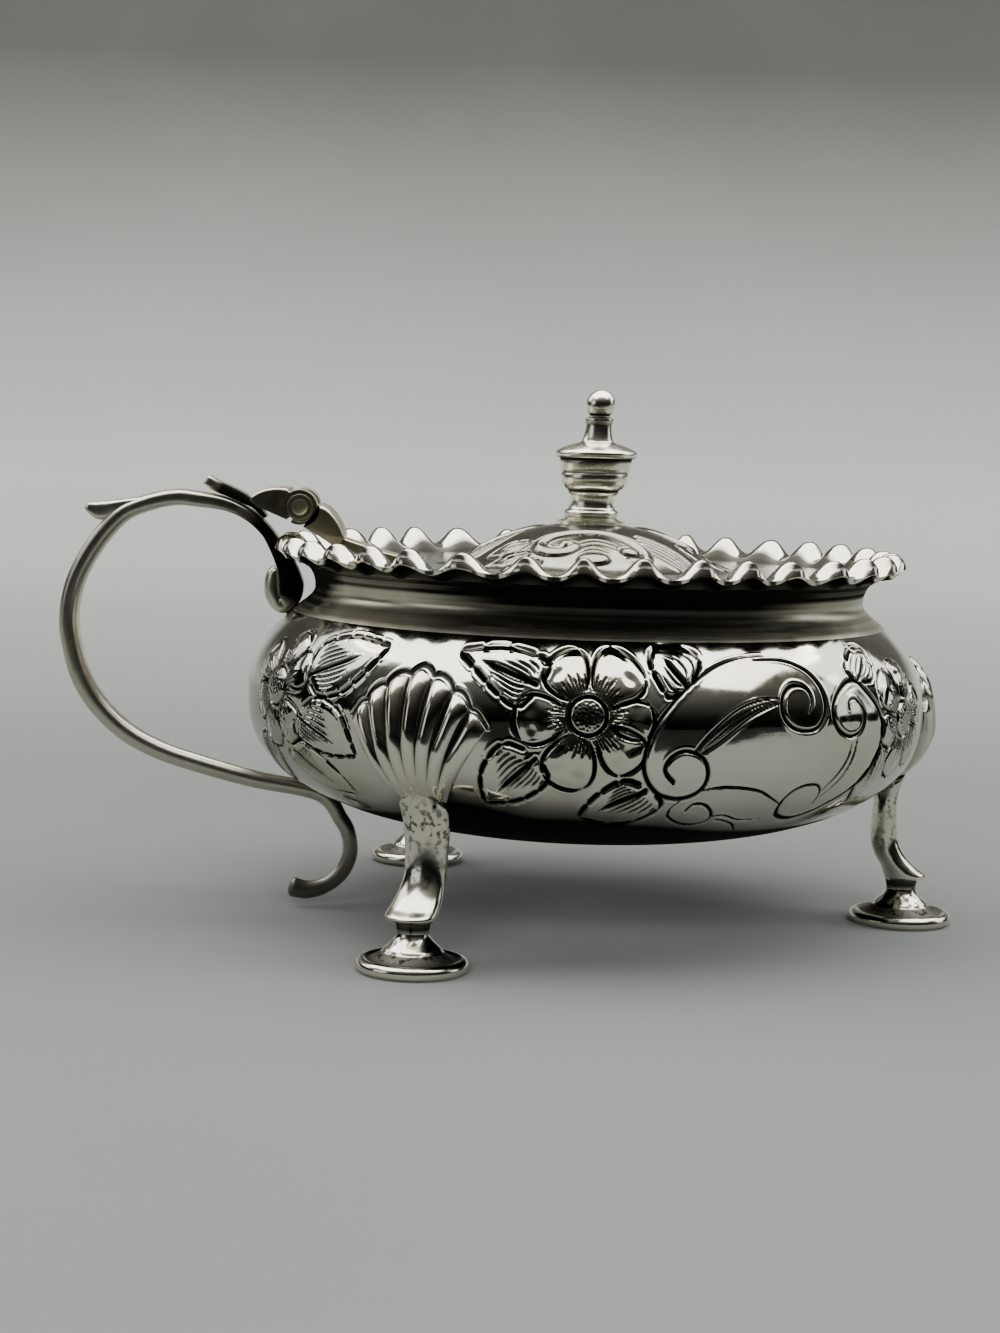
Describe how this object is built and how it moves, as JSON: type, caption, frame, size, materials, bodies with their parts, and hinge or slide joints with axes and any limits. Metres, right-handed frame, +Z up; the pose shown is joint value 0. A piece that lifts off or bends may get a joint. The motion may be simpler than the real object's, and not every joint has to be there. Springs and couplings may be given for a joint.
{
  "type": "mustard pot",
  "caption": "Round silver mustard pot on shell-kneed legs with pad feet, with a lobed rim, a scroll handle, a hinged domed cover with an urn finial and a blue glass liner.",
  "frame": {"origin": "on the table, under the middle of the overall length, in the plane that halves the pot", "axes": "+X from the handle to the front foot, +Y to the left seen from the handle, +Z up"},
  "size_m": [0.0938, 0.0696, 0.0546],
  "materials": {
    "silver": "polished antique silver, darkened in the chased lines",
    "blue_glass": "clear cobalt blue glass"
  },
  "bodies": {
    "pot": {"bowl": "silver", "rim_border": "silver", "glass_liner": "blue_glass", "front_leg": "silver", "left_leg": "silver", "right_leg": "silver", "front_foot": "silver", "left_foot": "silver", "right_foot": "silver", "handle_scroll": "silver", "thumb_leaf": "silver", "hinge_plate": "silver", "left_knuckle": "silver", "right_knuckle": "silver", "hinge_pin": "silver"},
    "lid": {"cover": "silver", "cover_bezel": "silver", "finial": "silver", "finial_nut": "silver", "cover_tongue": "silver", "cover_hinge_plate": "silver", "cover_knuckle": "silver"}
  },
  "joints": [
    {"name": "lid_hinge", "type": "hinge", "parent": "pot", "child": "lid", "pos_m": [-0.02218, 0, 0.0418], "axis": [0, -1, 0], "range_deg": [0, 100]}
  ]
}
